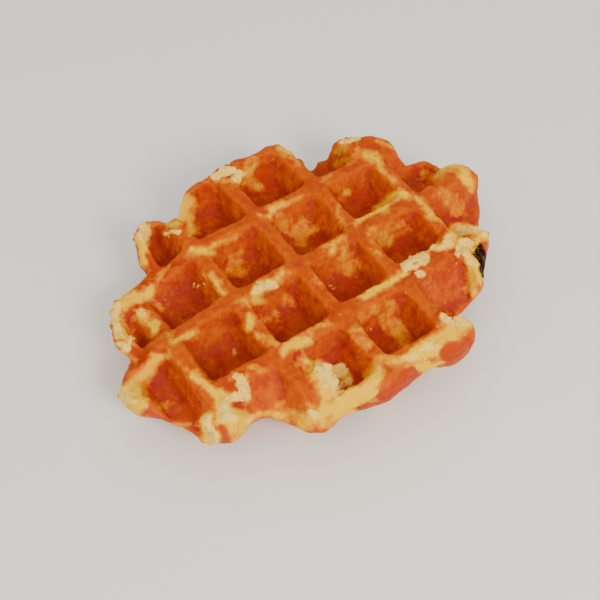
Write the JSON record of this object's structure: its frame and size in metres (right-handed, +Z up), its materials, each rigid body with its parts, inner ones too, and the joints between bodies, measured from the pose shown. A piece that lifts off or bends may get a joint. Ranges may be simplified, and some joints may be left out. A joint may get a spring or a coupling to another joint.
{
  "type": "liege waffle",
  "caption": "Thick baked waffle slab with a ragged edge, deep square pockets on both faces and caramelised ribs with crumb patches.",
  "frame": {"origin": "middle of the bounding box in X and Y, on the plane that the lower ribs rest on", "axes": "+X along the long ribs, +Y across them, +Z up"},
  "size_m": [0.1474, 0.1055, 0.0266],
  "materials": {
    "baked_crust": "caramelised orange-brown sugar crust, slightly glossy, with matte yellow dough and cream crumb where it broke"
  },
  "bodies": {
    "root": {"waffle": "baked_crust"}
  },
  "joints": []
}
